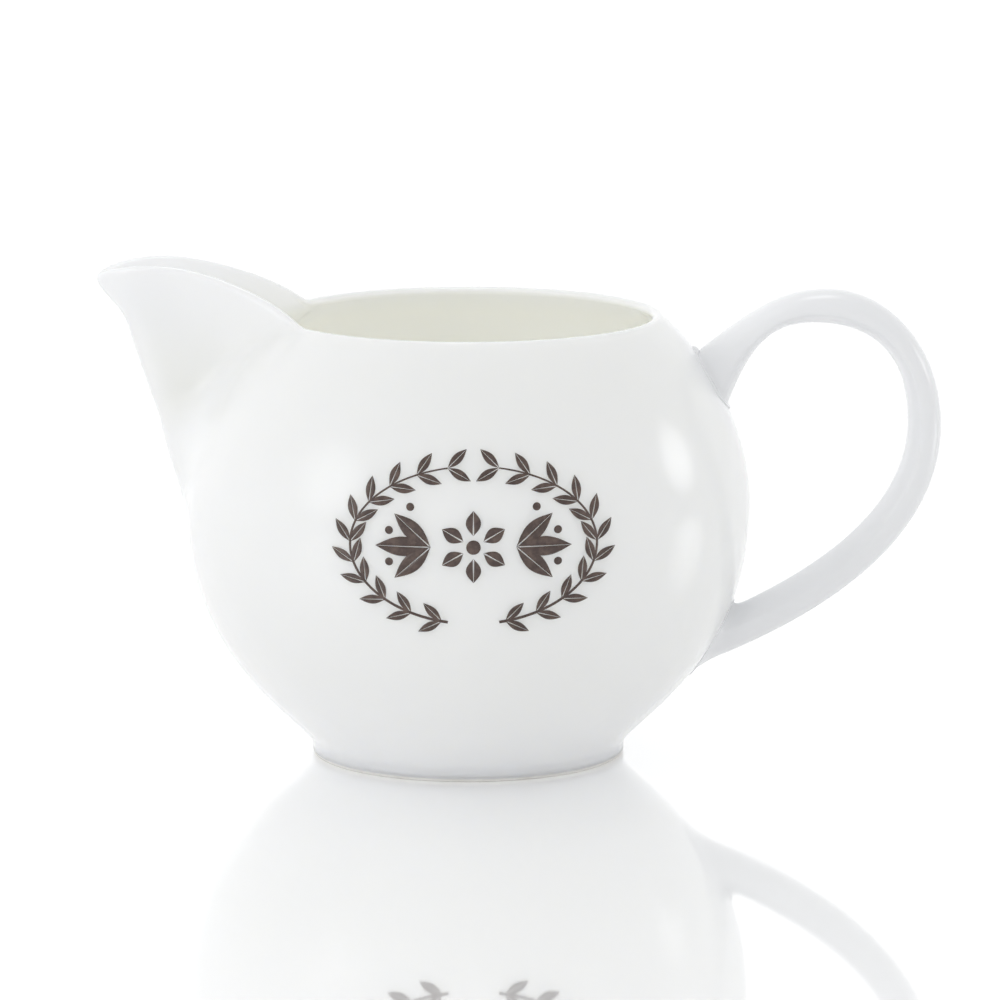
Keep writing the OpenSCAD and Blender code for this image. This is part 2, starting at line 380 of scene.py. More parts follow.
def rim_frames(line):
    """Outward and upward directions across the lip, at right angles to its line."""
    forward = np.gradient(line, axis=0)
    forward[0] = [0, 1, 0]
    forward[-1] = [0, -1, 0]
    forward /= np.linalg.norm(forward, axis=1)[:, None]
    up = np.array([0, 0, 1.0]) - forward[:, 2:3] * forward
    up /= np.linalg.norm(up, axis=1)[:, None]
    out = np.cross(up, forward)
    out *= np.sign((out * line * [1, 1, 0]).sum(axis=1))[:, None]
    return out, up


def skin_rows():
    """Half of the skin as rows of points: up the outside from the foot, over the lip and down the inside.
    The second result is the row along the lip's crest, where the inner glaze begins."""
    line = rim_line()
    s = np.linspace(0, 1, COLUMNS)
    spread = s - COLUMN_CROWDING * np.sin(math.pi * s) * (1 - s)
    pick = np.interp(spread, np.linspace(0, 1, len(line)), np.arange(len(line)))
    out, up = rim_frames(line)

    def at(values):
        return np.stack([np.interp(pick, np.arange(len(line)), values[:, k]) for k in range(3)], axis=1)

    line, out, up = at(line), at(out), at(up)
    level_lip = RIM_HEIGHT - LIP_RADIUS
    lip = np.where(line[:, 2] > level_lip + 0.5, SPOUT_LIP, LIP_RADIUS)
    lean = (math.pi / 2 - SHOULDER_ANGLE) * smooth_step(RIM_HEIGHT + 2, level_lip, line[:, 2])

    def on_lip(angle):
        turn = (lean + angle)[:, None]
        across = np.cos(turn)
        across = np.where(across < 0, across * INNER_LIP_SHARE, across)
        return line + lip[:, None] * (across * out + np.sin(turn) * up)

    lip_points = [on_lip(math.pi * i / (LIP_ROWS - 1)) for i in range(LIP_ROWS)]
    rim_angle = np.arctan2(line[:, 1], -line[:, 0])

    def climb(profile, ends, inside, rows, floor):
        """Rows of one face of the wall, from the level called floor up to the lip."""
        part = even_steps(profile[profile[:, 1] >= floor], rows)
        bottom, top = part[0, 1], part[-1, 1]
        end_angle = np.arctan2(ends[:, 1], -ends[:, 0])
        result = []
        miss = None
        for r, z in part[::-1]:
            lifted = max(z - SKIN_BASE, 0) / (top - SKIN_BASE)
            height = z + (ends[:, 2] - top) * lifted
            angle = rim_angle + (end_angle - rim_angle) * smooth_step(SKIN_BASE, top, z)
            beside_spout = z > SKIN_BASE - SPOUT_MARGIN
            rho = wall_radius(angle, height, inside) if beside_spout else np.full(len(angle), r)
            point = np.stack([-rho * np.cos(angle), rho * np.sin(angle), height], axis=1)
            if miss is None:
                miss = ends - point
            result.append(point + miss * smooth_step(LIP_JOIN, 1.0, (z - bottom) / (top - bottom)))
        return result[::-1]

    outside = climb(outer_profile, lip_points[0], False, OUTER_ROWS, GLAZE_LINE)
    inside = climb(inner_profile, lip_points[-1], True, INNER_ROWS, FLOOR_EDGE)
    floor_curve = even_steps(inner_profile[inner_profile[:, 1] < FLOOR_EDGE][::-1], FLOOR_ROWS)[:-1]
    floor_rows = [np.stack([-r * np.cos(rim_angle), r * np.sin(rim_angle), np.full(COLUMNS, z)], axis=1)
                  for r, z in floor_curve[1:]]
    rows = outside[:-1] + lip_points + inside[:-1][::-1] + floor_rows
    return rows, len(outside) - 1 + LIP_ROWS // 2


def make_skin(outside_glaze, inside_glaze_painted_light):
    rows, crest_row = skin_rows()
    loops = [np.vstack([row, row[-2:0:-1] * [1, -1, 1]]) for row in rows]
    count = len(loops[0])
    angle = np.arctan2(loops[0][:, 1], -loops[0][:, 0])
    ring_inside = FOOT_RADIUS - FOOT_WIDTH
    # The recess under the foot, from near the axis out to the inside of the standing ring.
    recess = (
        (0.6, FOOT_HEIGHT),
        (ring_inside * 0.5, FOOT_HEIGHT),
        (ring_inside - 1.2, FOOT_HEIGHT),
        (ring_inside - 0.3, FOOT_HEIGHT - 0.12),
        (ring_inside + 0.05, FOOT_HEIGHT - 0.5),
        (ring_inside + 0.1, GLAZE_LINE),
    )
    base = [np.stack([-r * np.cos(angle), r * np.sin(angle), np.full(count, z)], axis=1) for r, z in recess]
    loops = base + loops
    crest_row += len(base)
    points = np.vstack(loops + [[[0, 0, floor_level]], [[0, 0, FOOT_HEIGHT]]])
    faces = ring_faces(len(loops), count, flip=True)
    faces += cap_faces((len(loops) - 1) * count, count, len(points) - 2, flip=True)
    faces += cap_faces(0, count, len(points) - 1)
    materials = [0 if i < crest_row else 1 for i in range(len(loops) - 1) for _ in range(count)]
    materials += [1] * count + [0] * count
    return new_mesh("jug_skin", points, faces, [outside_glaze, inside_glaze_painted_light], materials)


FOOT_TURNS = 180
FOOT_EDGE = 0.5
FOOT_INSET = 0.12
FOOT_TUCK = 0.4


def make_foot(bare):
    """The standing ring, whose lower edge is wiped clean of glaze and whose top is tucked into the skin."""
    outer = FOOT_RADIUS - FOOT_INSET
    inner = FOOT_RADIUS - FOOT_WIDTH + FOOT_INSET
    edge = FOOT_EDGE
    corner = np.linspace(0, math.pi / 2, 7)
    outline = [(outer, GLAZE_LINE + FOOT_TUCK), (outer, edge + 0.1)]
    outline += [(outer - edge + edge * math.cos(a), edge - edge * math.sin(a)) for a in corner]
    outline += [(inner + edge - edge * math.sin(a), edge - edge * math.cos(a)) for a in corner]
    outline += [(inner, edge + 0.1), (inner, GLAZE_LINE + FOOT_TUCK)]
    points = [(r * math.cos(a), r * math.sin(a), z) for a in full_turn(FOOT_TURNS) for r, z in outline]
    faces = ring_faces(FOOT_TURNS, len(outline), closed=True)
    return new_mesh("foot_bare_ring", points, faces, [bare])


# ---------------------------------------------------------------- the handle

STRAP = 5.2
STRAP_HALF_WIDTH = (strap_high[1] - strap_low[1]) / 2
CROWN_OUT = np.array([55.4, strap_high[2]])
REACH_OUT = np.array([strap_high[0], 51.3])
CROWN_IN = np.array([53.3, strap_high[2] - STRAP])
REACH_IN = np.array([strap_high[0] - STRAP, 51.8])
UPPER_END_OUT = [32.5, 60.4]
UPPER_END_IN = [38.6, 50.5]
LOWER_END_OUT = [31.5, 12.4]
LOWER_END_IN = [33.6, 19.4]
EDGE_OUT = (
    [UPPER_END_OUT, [41.8, 67.8], CROWN_OUT - [8.2, 0], CROWN_OUT],
    [CROWN_OUT, CROWN_OUT + [9.5, 0], REACH_OUT + [0, 12.3], REACH_OUT],
    [REACH_OUT, REACH_OUT - [0, 20.3], [49.9, 18.4], LOWER_END_OUT],
)
EDGE_IN = (
    [UPPER_END_IN, [42.6, 61.4], CROWN_IN - [8.3, 0], CROWN_IN],
    [CROWN_IN, CROWN_IN + [5.9, 0], REACH_IN + [0, 13.5], REACH_IN],
    [REACH_IN, REACH_IN - [0, 14.8], [52, 26.6], LOWER_END_IN],
)
EDGE_STEPS = 200
ROOT_FLARE = 1.5
FLARE_RATE = 6
STRAP_OUTER_FULLNESS = 2.3
STRAP_INNER_FULLNESS = 1.5
STRAP_RIDGE = -0.25
RING_POINTS = 56
STRAP_RINGS = 260
RING_CROWDING = 0.13
STRAP_SCAN = 1201
ROOT_DEPTH = 0.8
ROOT_REACH = 7.0
UPPER_FILLET = 0.5
LOWER_FILLET = 2.2
FILLET_STEEPNESS = 0.9


def edge_line(edge):
    t = np.linspace(0, 1, EDGE_STEPS + 1)[:-1]
    return np.vstack([bezier(part, t) for part in edge] + [[edge[-1][-1]]])


def strap_section(angle):
    """A point of the strap's section, from -1 to 1 each way: full and round outside, with a soft ridge
    on either side where the flatter inner face begins."""
    out, side = np.cos(angle), np.sin(angle)
    power = 2 / np.where(out > 0, STRAP_OUTER_FULLNESS, STRAP_INNER_FULLNESS)
    across = STRAP_RIDGE + (np.sign(out) - STRAP_RIDGE) * np.abs(out) ** power
    return across, np.sign(side) * np.abs(side) ** power


def strap_point(t, angle):
    """A point on the handle's skin: t runs from 0 at the upper end to 1 at the lower end."""
    outer, inner = edge_line(EDGE_OUT), edge_line(EDGE_IN)
    i = np.linspace(0, 1, len(outer))
    a = np.stack([np.interp(t, i, outer[:, k]) for k in range(2)], axis=-1)
    b = np.stack([np.interp(t, i, inner[:, k]) for k in range(2)], axis=-1)
    middle, half = (a + b) / 2, (a - b) / 2
    upper = 1 - t * FLARE_RATE
    lower = (t - (1 - 1 / FLARE_RATE)) * FLARE_RATE
    end = np.maximum(np.maximum(upper, lower), 0)
    width = STRAP_HALF_WIDTH + ROOT_FLARE * end**2
    along_half, along_width = strap_section(angle)
    across = middle + half * along_half[..., None]
    return np.stack([across[..., 0], width * along_width, across[..., 1]], axis=-1)


def strap_grid(scan, angles):
    return strap_point(scan[:, None] + 0 * angles[None, :], angles[None, :] + 0 * scan[:, None])


def clear_of_bowl(points):
    """How far points stand outside the bowl's outer wall, roughly at right angles to it."""
    rho = np.hypot(points[..., 0], points[..., 1])
    z = points[..., 2]
    slope = outer_radius(z + 0.5) - outer_radius(z - 0.5)
    return (rho - outer_radius(z)) / np.sqrt(1 + slope**2)


def fillet(gap, radius):
    """How far a rounded corner of that radius spreads out where it is gap away from the bowl."""
    rise = np.clip(1 - gap / radius, 0, 1)
    return radius * (1 - np.sqrt(1 - rise**2))


def make_handle(glaze):
    """The strap, cut off a little way inside the bowl's wall and spread out where it meets the wall."""
    angles = full_turn(RING_POINTS)
    scan = np.linspace(0, 1, STRAP_SCAN)
    clear = clear_of_bowl(strap_grid(scan, angles)) + ROOT_DEPTH
    start, stop = np.zeros(RING_POINTS), np.ones(RING_POINTS)
    for j in range(RING_POINTS):
        out = np.nonzero(clear[:, j] > 0)[0]
        start[j], stop[j] = scan[out[0]], scan[out[-1]]
    ease = np.linspace(0, 1, STRAP_RINGS)
    ease = ease - RING_CROWDING * np.sin(2 * math.pi * ease)
    t = start[None, :] + ease[:, None] * (stop - start)[None, :]
    points = strap_point(t, angles[None, :] + 0 * t)
    gap = clear_of_bowl(points)
    normal = points * [1, 1, 0]
    normal[..., 2] = (points[..., 2] - BELLY_HEIGHT) * FILLET_STEEPNESS
    normal /= np.linalg.norm(normal, axis=-1)[..., None]
    away = points - points.mean(axis=1, keepdims=True)
    away -= (away * normal).sum(axis=-1)[..., None] * normal
    away /= np.linalg.norm(away, axis=-1)[..., None]
    spread = np.where(t < 0.5, fillet(gap, UPPER_FILLET), fillet(gap, LOWER_FILLET))
    rings = list(points + away * spread[..., None])
    verts = np.vstack(rings + [[rings[0].mean(axis=0)], [rings[-1].mean(axis=0)]])
    faces = ring_faces(STRAP_RINGS, RING_POINTS, flip=True)
    faces += cap_faces(0, RING_POINTS, len(verts) - 2)
    faces += cap_faces((STRAP_RINGS - 1) * RING_POINTS, RING_POINTS, len(verts) - 1, flip=True)
    return new_mesh("handle_strap", verts, faces, [glaze])


def root_outline(lower, offset, count):
    """The line where the strap meets the bowl, moved outwards along the bowl by offset."""
    scan = np.linspace(0.5, 1 if lower else 0, 900)
    grid = strap_grid(scan, full_turn(count))
    clear = clear_of_bowl(grid)
    line = np.array([grid[np.nonzero(clear[:, j] < 0)[0][0], j] for j in range(count)])
    away = line - line.mean(axis=0)
    away /= np.linalg.norm(away, axis=1)[:, None]
    moved = line + away * offset
    rho = np.hypot(moved[:, 0], moved[:, 1])
    moved[:, :2] *= (outer_radius(moved[:, 2]) / rho)[:, None]
    return moved


BEAD_POINTS = 120
BEAD_SIDES = 14
BEAD_FLATNESS = 0.7
BEAD_WAVES = range(2, 9)
BEAD_UNEVENNESS = 0.3
BLOB_WIDTH = 0.03


def make_slip_bead(name, lower, radius, offset, blob, seed, glaze):
    """The thin, uneven seam of slip squeezed out where the strap was stuck on, with a blob at one end."""
    rng = np.random.default_rng(seed)
    line = root_outline(lower, offset, BEAD_POINTS)
    turn = full_turn(BEAD_POINTS)
    swell = np.ones(BEAD_POINTS)
    for k in BEAD_WAVES:
        height = rng.uniform(-BEAD_UNEVENNESS, BEAD_UNEVENNESS) / math.sqrt(k)
        swell += height * np.cos(k * turn + rng.uniform(0, 2 * math.pi))
    blob_side = -1 if lower else 1
    swell = np.clip(swell, 0.5, 1.6) + blob * np.exp(-((np.cos(turn) - blob_side) / BLOB_WIDTH) ** 2)
    forward = np.roll(line, -1, axis=0) - np.roll(line, 1, axis=0)
    forward /= np.linalg.norm(forward, axis=1)[:, None]
    normal = line * [1, 1, 0.6]
    normal /= np.linalg.norm(normal, axis=1)[:, None]
    side = np.cross(forward, normal)
    side /= np.linalg.norm(side, axis=1)[:, None]
    normal = np.cross(side, forward)
    around = full_turn(BEAD_SIDES)[:, None]
    rings = []
    for i in range(BEAD_POINTS):
        r = radius * swell[i]
        across = r * np.cos(around) * side[i]
        rise = BEAD_FLATNESS * r * np.sin(around) * normal[i]
        rings.append(line[i] + across + rise)
    faces = [[a, d, c, b] for a, b, c, d in ring_faces(BEAD_POINTS, BEAD_SIDES, closed=True)]
    return new_mesh(name, np.vstack(rings), faces, [glaze])


# ---------------------------------------------------------------- the printed emblem

EMBLEM_OFFSET = 1.0
EMBLEM_HEIGHT = 40.0
OVAL_HALF_WIDTH = 18.4
OVAL_HALF_HEIGHT = 11.8
LEAF_PAIRS = 11
LEAF_LENGTH = 3.9
LEAF_FULLNESS = 0.36
LEAF_LEAN = math.radians(36)
LEAF_STEPS = 17
BRANCH_END = math.radians(78)
STEM_TAIL = math.radians(3)
STEM_WIDTH = 0.45
STEM_STEPS = 61
VEIN_WIDTH = 0.11
PETAL_VEIN = 0.2
SPRAY_VEIN = 0.16
INK_THICKNESS = 0.04
INK_VARIATION = 0.04
FINEST_LINE = 0.02
BLOSSOM_RADIUS = 5.4
EYE_SHARE = 0.2
PETALS = 6
PETAL_START = 0.32
PETAL_FULLNESS = 0.62
SPRAY_GAP = 1.0
SPRAY_LEAF = 7.2
MIDDLE_LEAF_EXTRA = 1.0
SPRAY_SPREAD = math.radians(42)
BUD_RADIUS = 0.6
BUD_STEPS = 15


def twice_area(polygon):
    """Twice the signed area of a flat polygon."""
    x, z = polygon[:, 0], polygon[:, 1]
    return np.sum(x * np.roll(z, -1) - np.roll(x, -1) * z)


def sheet_faces(rows, cols, first):
    """The faces of a thin sheet: its grid of cells above, the same below, and its border."""
    size = rows * cols
    cells = [[i * cols + j, i * cols + j + 1, (i + 1) * cols + j + 1, (i + 1) * cols + j]
             for i in range(rows - 1) for j in range(cols - 1)]
    border = list(range(cols - 1))
    border += [i * cols + cols - 1 for i in range(rows - 1)]
    border += [(rows - 1) * cols + j for j in range(cols - 1, 0, -1)]
    border += [i * cols for i in range(rows - 1, 0, -1)]
    sheet = [[first + v for v in cell] for cell in cells]
    sheet += [[first + size + v for v in cell[::-1]] for cell in cells]
    sheet += [[first + b, first + a, first + size + a, first + size + b]
              for a, b in zip(border, border[1:] + border[:1])]
    return cells, sheet


class Drawing:
    """Flat shapes in the emblem's own X-Z plane, laid on the front of the globe as a thin skin of ink."""

    def __init__(self, name):
        self.name = name
        self.patches = []

    def patch(self, left, right, place, turn, mirrored, across=3):
        """A strip between two equally long edges."""
        left, right = np.array(left, float), np.array(right, float)
        grid = np.stack([left + (right - left) * k / across for k in range(across + 1)], axis=1)
        c, s = math.cos(turn), math.sin(turn)
        x = place[0] + grid[..., 0] * c - grid[..., 1] * s
        z = place[1] + grid[..., 0] * s + grid[..., 1] * c
        self.patches.append(np.stack([-x if mirrored else x, z], axis=-1))

    def leaf(self, length, fullness, place, turn, mirrored=False, vein=VEIN_WIDTH):
        """A pointed leaf in two halves, with its vein left bare."""
        t = np.linspace(0, 1, LEAF_STEPS)
        edge = np.maximum(length * fullness / 2 * np.sin(math.pi * t), FINEST_LINE)
        bare = np.minimum(vein / 2 * np.clip(1.25 - t, 0, 1), edge - FINEST_LINE / 2)
        for side in (1, -1):
            inner, outer = np.c_[length * t, side * bare], np.c_[length * t, side * edge]
            self.patch(inner, outer, place, turn, mirrored)

    def disc(self, radius, place, turn=0.0, mirrored=False):
        a = np.linspace(0, math.pi, BUD_STEPS)
        top = np.c_[-radius * np.cos(a), np.maximum(radius * np.sin(a), FINEST_LINE)]
        self.patch(top * [1, -1], top, place, turn, mirrored, across=6)

    def lay(self, ink):
        """The mesh of all patches. Neighbours stand proud by slightly different heights, so that
        they don't coincide where they overlap."""
        points, faces = [], []
        first = 0
        for index, grid in enumerate(self.patches):
            proud = INK_THICKNESS / 2 * (1 - INK_VARIATION * (index % 7))
            x = grid[..., 0] + EMBLEM_OFFSET
            z = grid[..., 1] + EMBLEM_HEIGHT
            for lift in (proud, -INK_THICKNESS / 2):
                radius = outer_radius(z) + lift
                y = -np.sqrt(radius**2 - x**2)
                points.append(np.stack([x, y, z], axis=-1).reshape(-1, 3))
            rows, cols = grid.shape[:2]
            flat = grid.reshape(-1, 2)
            cells, sheet = sheet_faces(rows, cols, first)
            turned_over = sum(twice_area(flat[cell]) for cell in cells) < 0
            faces += [f[::-1] for f in sheet] if turned_over else sheet
            first += 2 * rows * cols
        return new_mesh(self.name, np.vstack(points), faces, [ink])


def beside_oval(angle, out):
    x = (OVAL_HALF_WIDTH + out) * np.cos(angle)
    z = (OVAL_HALF_HEIGHT + out) * np.sin(angle)
    return np.stack([x, z], axis=-1)


def draw_wreath():
    wreath = Drawing("print_leaf_wreath")
    stem = np.linspace(-BRANCH_END, BRANCH_END, STEM_STEPS)
    taper = STEM_WIDTH / 2 * (1 - 0.5 * np.linspace(0, 1, STEM_STEPS))
    for mirrored in (False, True):
        left = np.array([beside_oval(a, -w) for a, w in zip(stem, taper)])
        right = np.array([beside_oval(a, w) for a, w in zip(stem, taper)])
        wreath.patch(left, right, (0, 0), 0, mirrored, across=2)
        for i in range(LEAF_PAIRS):
            angle = -BRANCH_END + STEM_TAIL + (2 * BRANCH_END - STEM_TAIL) * i / (LEAF_PAIRS - 1)
            run = math.atan2(OVAL_HALF_HEIGHT * math.cos(angle), -OVAL_HALF_WIDTH * math.sin(angle))
            for side in (-1, 1):
                turn = run + side * LEAF_LEAN
                wreath.leaf(LEAF_LENGTH, LEAF_FULLNESS, beside_oval(angle, 0), turn, mirrored)
    return wreath


def draw_sprig():
    sprig = Drawing("print_blossom_sprig")
    sprig.disc(BLOSSOM_RADIUS * EYE_SHARE, (0, 0))
    start = BLOSSOM_RADIUS * PETAL_START
    for i in range(PETALS):
        turn = (i + 0.5) * 2 * math.pi / PETALS
        place = (start * math.cos(turn), start * math.sin(turn))
        sprig.leaf(BLOSSOM_RADIUS - start, PETAL_FULLNESS, place, turn, vein=PETAL_VEIN)
    place = (BLOSSOM_RADIUS + SPRAY_GAP, 0)
    reach = SPRAY_LEAF - BUD_RADIUS
    for mirrored in (False, True):
        for lean in (-1, 0, 1):
            turn = lean * SPRAY_SPREAD
            length = SPRAY_LEAF + (MIDDLE_LEAF_EXTRA if lean == 0 else 0)
            sprig.leaf(length, LEAF_FULLNESS, place, turn, mirrored, vein=SPRAY_VEIN)
            bud_turn = turn + SPRAY_SPREAD / 2
            bud = (place[0] + reach * math.cos(bud_turn), reach * math.sin(bud_turn))
            sprig.disc(BUD_RADIUS, bud, mirrored=mirrored)
    return sprig


# ---------------------------------------------------------------- materials

def node_material(name):
    material = bpy.data.materials.new(name)
    material.use_nodes = True
    nodes = material.node_tree.nodes
    return material, nodes, material.node_tree.links, nodes["Principled BSDF"]


def noise(nodes, links, place, scale, detail, roughness=0.5):
    node = nodes.new("ShaderNodeTexNoise")
    node.inputs["Scale"].default_value = scale
    node.inputs["Detail"].default_value = detail
    node.inputs["Roughness"].default_value = roughness
    links.new(place, node.inputs["Vector"])
    return node.outputs["Fac"]


def ramp(nodes, links, value, low, high, low_to, high_to):
    node = nodes.new("ShaderNodeMapRange")
    node.interpolation_type = "SMOOTHSTEP"
    for socket, number in zip(("From Min", "From Max", "To Min", "To Max"), (low, high, low_to, high_to)):
        node.inputs[socket].default_value = number
    links.new(value, node.inputs["Value"])
    return node.outputs["Result"]


def combine(nodes, links, operation, a, b):
    """Two numbers added or multiplied; each is a socket or a plain float."""
    node = nodes.new("ShaderNodeMath")
    node.operation = operation
    for socket, value in zip(node.inputs, (a, b)):
        if isinstance(value, float):
            socket.default_value = value
        else:
            links.new(value, socket)
    return node.outputs[0]


def mix_colours(nodes, links, share, a, b):
    node = nodes.new("ShaderNodeMix")
    node.data_type = "RGBA"
    links.new(share, node.inputs["Factor"])
    for socket, colour in ((node.inputs[6], a), (node.inputs[7], b)):
        if isinstance(colour, tuple):
            socket.default_value = (*colour, 1)
        else:
            links.new(colour, socket)
    return node.outputs[2]


def bump(nodes, links, height, strength, distance, normal=None):
    node = nodes.new("ShaderNodeBump")
    node.inputs["Strength"].default_value = strength
    node.inputs["Distance"].default_value = distance
    links.new(height, node.inputs["Height"])
    if normal is not None:
        links.new(normal, node.inputs["Normal"])
    return node.outputs["Normal"]


def object_place(nodes):
    return nodes.new("ShaderNodeTexCoord").outputs["Object"]


# Colours in pairs: the base colour, and the colour of its faint clouds.
OUTSIDE_WHITE = ((0.9, 0.906, 0.915), (0.89, 0.897, 0.908))
# Partly painted light: the cream tint is the inner glaze's colour, and it is set paler than the outer glaze
# to make up for the dim light inside the bowl.
INSIDE_CREAM_PAINTED_LIGHT = ((0.988, 0.988, 0.937), (0.983, 0.983, 0.927))
# Painted shade: the strap is the same white glaze as the body, set darker to stand in for the dimmer light
# that falls on it.
STRAP_WHITE_PAINTED_SHADE = ((0.87, 0.876, 0.886), (0.855, 0.862, 0.874))
SLIP_WHITE = ((0.86, 0.866, 0.876), (0.845, 0.852, 0.864))
BISCUIT = ((0.87, 0.86, 0.835), (0.8, 0.785, 0.755))
PRINT_BROWN = ((0.06, 0.037, 0.031), (0.12, 0.08, 0.065))
TABLE_WHITE = ((0.97, 0.97, 0.97), (0.95, 0.95, 0.95))
# Painted highlight: the paler, bluer white band inside just under the rim, where the glaze catches the
# light at the lip.
RIM_PAINTED_HIGHLIGHT = (0.93, 0.94, 0.96)
SPECK_BROWN = (0.25, 0.2, 0.16)
INSIDE_SPECK = (0.3, 0.24, 0.18)
# Span of the painted rim highlight, in mm below the rim: none at 5 mm, full from 1 mm up.
RIM_HIGHLIGHT_BAND = (5, 1)
GLAZE_ROUGHNESS = (0.07, 0.15)
INK_ROUGHNESS = (0.08, 0.16)
BISCUIT_ROUGHNESS = (0.55, 0.8)
TABLE_ROUGHNESS = (0.02, 0.05)
GLAZE_IOR = 1.5
TABLE_IOR = 1.45
TABLE_MIRROR = 0.5
TABLE_GLOW = 0.075
WALL_GLOW = 0.75
STRAP_GLOW = 0.1
SLIP_GLOW = 0.0
GLOW_RADIUS = (0.006, 0.0058, 0.0053)
CLOUD_SCALE = 35
WEAR_SCALE = 60
WAVE_SCALE = 55
WAVE_DEPTH = 0.00012
RIPPLE_SCALE = 420
RIPPLE_DEPTH = 0.000008
SPECK_SCALE = 95
SPECK_SIZE = (0.012, 0.03)
SPECK_RARITY = (0.975, 0.985)
SPECK_STRENGTH = 0.7


def clear_of_roots(nodes, links, place):
    """0 at the handle's two roots, where the wall is backed by solid china, and 1 away from them."""
    clear = []
    for lower in (False, True):
        gap = nodes.new("ShaderNodeVectorMath")
        gap.operation = "DISTANCE"
        links.new(place, gap.inputs[0])
        gap.inputs[1].default_value = root_outline(lower, 0, 24).mean(axis=0) * MM
        clear.append(ramp(nodes, links, gap.outputs["Value"], ROOT_REACH * MM, 2 * ROOT_REACH * MM, 0, 1))
    return combine(nodes, links, "MULTIPLY", *clear)


def specks(nodes, links, place):
    """1 in a few tiny dots scattered over the glaze and 0 elsewhere."""
    dots = nodes.new("ShaderNodeTexVoronoi")
    dots.inputs["Scale"].default_value = SPECK_SCALE
    dots.inputs["Randomness"].default_value = 1.0
    links.new(place, dots.inputs["Vector"])
    pick = nodes.new("ShaderNodeSeparateColor")
    links.new(dots.outputs["Color"], pick.inputs["Color"])
    near = ramp(nodes, links, dots.outputs["Distance"], *SPECK_SIZE, 1, 0)
    few = ramp(nodes, links, pick.outputs["Red"], *SPECK_RARITY, 0, SPECK_STRENGTH)
    return combine(nodes, links, "MULTIPLY", near, few)


def glaze_material(name, colours, speck, glow, painted_rim_highlight=None, roots=False):
    """White porcelain under a clear glaze: slow waves in the gloss, faint clouds and a few specks.
    glow is the share of light that passes through the body; roots fades it out at the handle's roots.
    A rim colour, if given, is a painted highlight: a paler band blended in just under the rim."""
    material, nodes, links, shader = node_material(name)
    place = object_place(nodes)
    clouds = ramp(nodes, links, noise(nodes, links, place, CLOUD_SCALE, 3), 0.3, 0.7, 0, 1)
    body = mix_colours(nodes, links, clouds, *colours)
    if painted_rim_highlight is not None:
        # Painted highlight: blend towards the rim colour near the top of the inner wall.
        parts = nodes.new("ShaderNodeSeparateXYZ")
        links.new(place, parts.inputs["Vector"])
        low, high = [(RIM_HEIGHT - below) * MM for below in RIM_HIGHLIGHT_BAND]
        rim_highlight_share = ramp(nodes, links, parts.outputs["Z"], low, high, 0, 1)
        body = mix_colours(nodes, links, rim_highlight_share, body, painted_rim_highlight)
    body = mix_colours(nodes, links, specks(nodes, links, place), body, speck)
    links.new(body, shader.inputs["Base Color"])
    wear = noise(nodes, links, place, WEAR_SCALE, 4)
    links.new(ramp(nodes, links, wear, 0.3, 0.75, *GLAZE_ROUGHNESS), shader.inputs["Roughness"])
    waves = bump(nodes, links, noise(nodes, links, place, WAVE_SCALE, 1), 0.6, WAVE_DEPTH)
    ripples = bump(nodes, links, noise(nodes, links, place, RIPPLE_SCALE, 2), 0.35, RIPPLE_DEPTH, waves)
    links.new(ripples, shader.inputs["Normal"])
    shader.inputs["IOR"].default_value = GLAZE_IOR
    shader.inputs["Subsurface Weight"].default_value = glow
    shader.inputs["Subsurface Radius"].default_value = GLOW_RADIUS
    shader.inputs["Subsurface Scale"].default_value = 1.0
    if roots:
        share = combine(nodes, links, "MULTIPLY", clear_of_roots(nodes, links, place), glow)
        links.new(share, shader.inputs["Subsurface Weight"])
    return material


def bare_material():
    """Unglazed biscuit porcelain: matt, slightly warm, with a fine grain."""
    material, nodes, links, shader = node_material("bare_biscuit")
    place = object_place(nodes)
    stain = ramp(nodes, links, noise(nodes, links, place, 240, 5), 0.35, 0.7, 0, 1)
    links.new(mix_colours(nodes, links, stain, *BISCUIT), shader.inputs["Base Color"])
    wear = noise(nodes, links, place, 900, 3)
    links.new(ramp(nodes, links, wear, 0.3, 0.7, *BISCUIT_ROUGHNESS), shader.inputs["Roughness"])
    grain = bump(nodes, links, noise(nodes, links, place, 3200, 4, 0.7), 0.7, 0.00004)
    links.new(grain, shader.inputs["Normal"])
    return material


def ink_material():
    """Dark brown print under the glaze: thinner and lighter here and there."""
    material, nodes, links, shader = node_material("print_brown")
    place = object_place(nodes)
    thin = ramp(nodes, links, noise(nodes, links, place, 700, 4, 0.6), 0.35, 0.75, 0, 1)
    links.new(mix_colours(nodes, links, thin, *PRINT_BROWN), shader.inputs["Base Color"])
    wear = noise(nodes, links, place, WEAR_SCALE, 4)
    links.new(ramp(nodes, links, wear, 0.3, 0.75, *INK_ROUGHNESS), shader.inputs["Roughness"])
    edge = bump(nodes, links, noise(nodes, links, place, 1500, 2), 0.3, 0.00001)
    links.new(edge, shader.inputs["Normal"])
    shader.inputs["IOR"].default_value = GLAZE_IOR
    return material


def table_material():
    """A white polished table, half a mirror, with a faint glow for the light it passes up from below."""
    material, nodes, links, shader = node_material("table_gloss")
    place = object_place(nodes)
    cloud = ramp(nodes, links, noise(nodes, links, place, 3, 2), 0.3, 0.7, 0, 1)
    links.new(mix_colours(nodes, links, cloud, *TABLE_WHITE), shader.inputs["Base Color"])
    wear = noise(nodes, links, place, 8, 3)
    links.new(ramp(nodes, links, wear, 0.3, 0.7, *TABLE_ROUGHNESS), shader.inputs["Roughness"])
    shader.inputs["IOR"].default_value = TABLE_IOR
    shader.inputs["Metallic"].default_value = TABLE_MIRROR
    shader.inputs["Emission Color"].default_value = (1, 1, 1, 1)
    shader.inputs["Emission Strength"].default_value = TABLE_GLOW
    return material


# ---------------------------------------------------------------- the pieces

